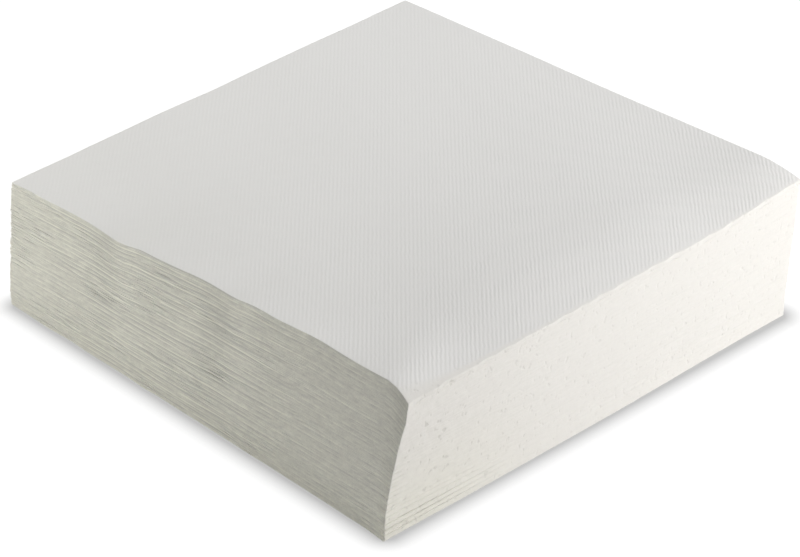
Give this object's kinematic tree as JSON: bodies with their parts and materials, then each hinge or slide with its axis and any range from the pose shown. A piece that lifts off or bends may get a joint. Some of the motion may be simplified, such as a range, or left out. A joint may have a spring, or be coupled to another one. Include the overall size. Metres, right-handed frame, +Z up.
{
  "type": "stack of paper napkins",
  "caption": "Square pile of quarter-folded white paper napkins that leans and twists a little and rolls over towards its folded side; a source of single napkins.",
  "frame": {"origin": "centre of the pile's box, on the surface that it lies on", "axes": "+Z up through the pile; +X towards the napkins' main folds; +Y towards their first folds; the open edges of the leaves are at -X and -Y"},
  "size_m": [0.2054, 0.2084, 0.0549],
  "materials": {
    "tissue": "soft matte white tissue, embossed with fine ribs that run at 45 degrees to the edges"
  },
  "bodies": {
    "root": {"napkin_01": "tissue", "napkin_02": "tissue", "napkin_03": "tissue", "napkin_04": "tissue", "napkin_05": "tissue", "napkin_06": "tissue", "napkin_07": "tissue", "napkin_08": "tissue", "napkin_09": "tissue", "napkin_10": "tissue", "napkin_11": "tissue", "napkin_12": "tissue", "napkin_13": "tissue", "napkin_14": "tissue", "napkin_15": "tissue", "napkin_16": "tissue", "napkin_17": "tissue", "napkin_18": "tissue", "napkin_19": "tissue", "napkin_20": "tissue", "napkin_21": "tissue", "napkin_22": "tissue", "napkin_23": "tissue", "napkin_24": "tissue", "napkin_25": "tissue", "napkin_26": "tissue", "napkin_27": "tissue", "napkin_28": "tissue", "napkin_29": "tissue", "napkin_30": "tissue"}
  },
  "joints": []
}
